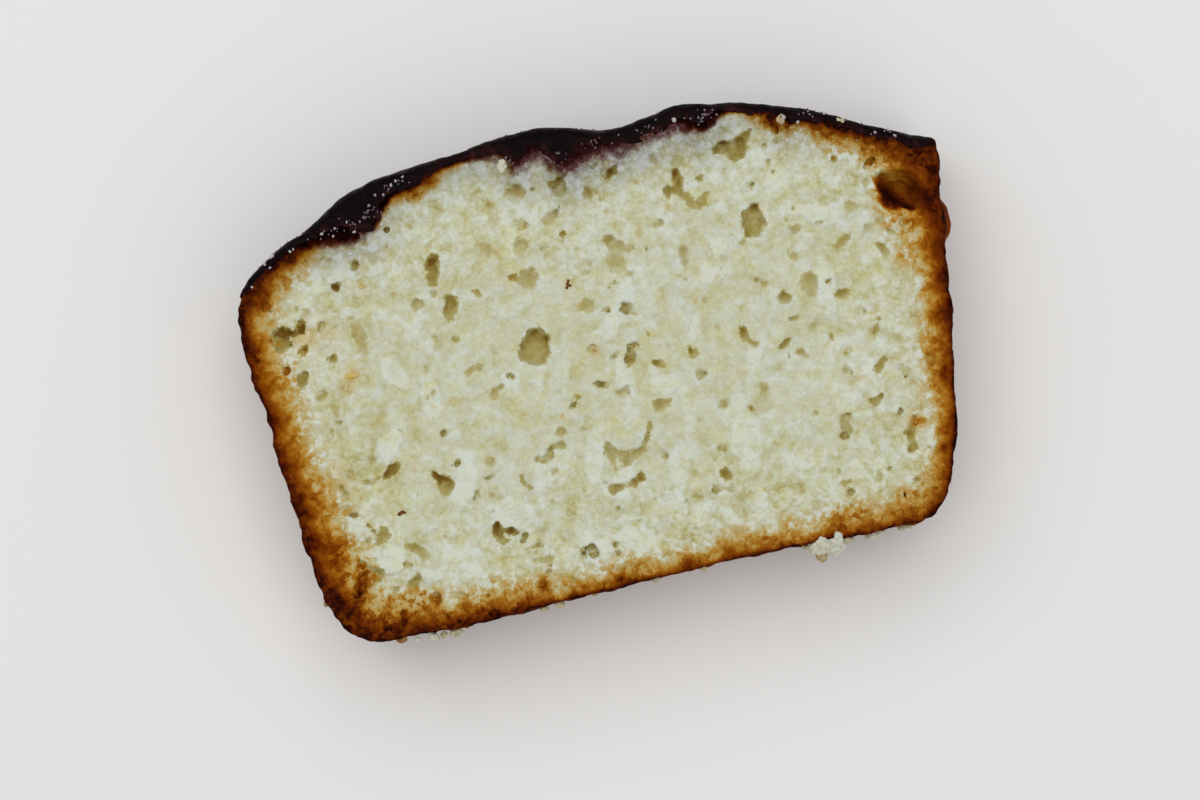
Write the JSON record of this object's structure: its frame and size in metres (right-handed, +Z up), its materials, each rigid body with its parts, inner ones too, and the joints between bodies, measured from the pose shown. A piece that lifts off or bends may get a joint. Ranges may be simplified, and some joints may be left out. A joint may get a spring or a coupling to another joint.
{
  "type": "lemon loaf cake slice",
  "caption": "Slice of pale lemon loaf cake lying on its cut face, with browned crust on the base and sides and a dark fruit glaze baked onto its domed top.",
  "frame": {"origin": "middle of the slice's footprint, at the level of the cut face that it lies on", "axes": "+X along the loaf's base, +Y up the loaf towards its glazed dome, +Z up through the thickness of the slice, out of the cut face that shows"},
  "size_m": [0.1114, 0.0732, 0.0207],
  "materials": {
    "crumb": "matte",
    "glaze": "gloss"
  },
  "bodies": {
    "root": {"cake": "crumb", "glaze": "glaze"}
  },
  "joints": []
}
